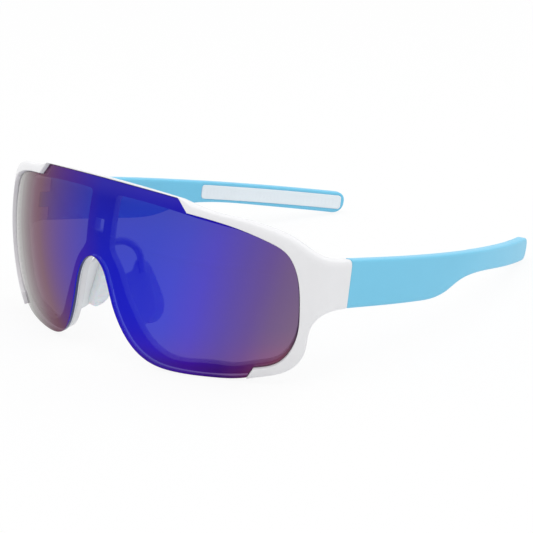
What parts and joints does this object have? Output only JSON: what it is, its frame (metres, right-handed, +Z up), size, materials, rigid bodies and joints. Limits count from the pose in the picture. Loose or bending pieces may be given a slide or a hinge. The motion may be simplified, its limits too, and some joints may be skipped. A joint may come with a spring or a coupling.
{
  "type": "wraparound sport sunglasses",
  "caption": "Wraparound shield sunglasses: one-piece spherical mirror lens in a half-open front frame, clip-in nosepiece with soft pads, and folding temples with rubber grips.",
  "frame": {"origin": "centre of the bounding box's bottom face, with the glasses lying open on a table on the lens's lower edge and the temple tips", "axes": "+X to the wearer's left, +Y back towards the ears, +Z up"},
  "size_m": [0.142, 0.1632, 0.0576],
  "materials": {
    "mirror_lens": "polished polycarbonate with a blue mirror coating",
    "white_frame": "smooth moulded white plastic",
    "nosepiece": "smooth moulded white plastic",
    "nose_pad": "soft ribbed rubber",
    "blue_temple": "satin moulded light blue plastic",
    "temple_grip": "soft matt rubber",
    "hinge_steel": "plain steel screw",
    "hinge_brass": "plain brass insert"
  },
  "bodies": {
    "root": {"front_frame": "white_frame", "shield_lens": "mirror_lens", "nose_saddle": "nosepiece", "nose_pad_left": "nose_pad", "nose_pad_right": "nose_pad", "hinge_screw_left": "hinge_steel", "hinge_screw_right": "hinge_steel", "hinge_insert_left": "hinge_brass", "hinge_insert_right": "hinge_brass"},
    "temple_left_arm": {"temple_left": "blue_temple", "temple_grip_left": "temple_grip"},
    "temple_right_arm": {"temple_right": "blue_temple", "temple_grip_right": "temple_grip"}
  },
  "joints": [
    {"name": "temple_left_fold", "type": "hinge", "parent": "root", "child": "temple_left_arm", "pos_m": [0.06875, -0.04333, 0.02921], "axis": [0, 0.2045, 0.9789], "range_deg": [0, 80]},
    {"name": "temple_right_fold", "type": "hinge", "parent": "root", "child": "temple_right_arm", "pos_m": [-0.06875, -0.04333, 0.02921], "axis": [0, -0.2045, -0.9789], "range_deg": [0, 70]}
  ]
}
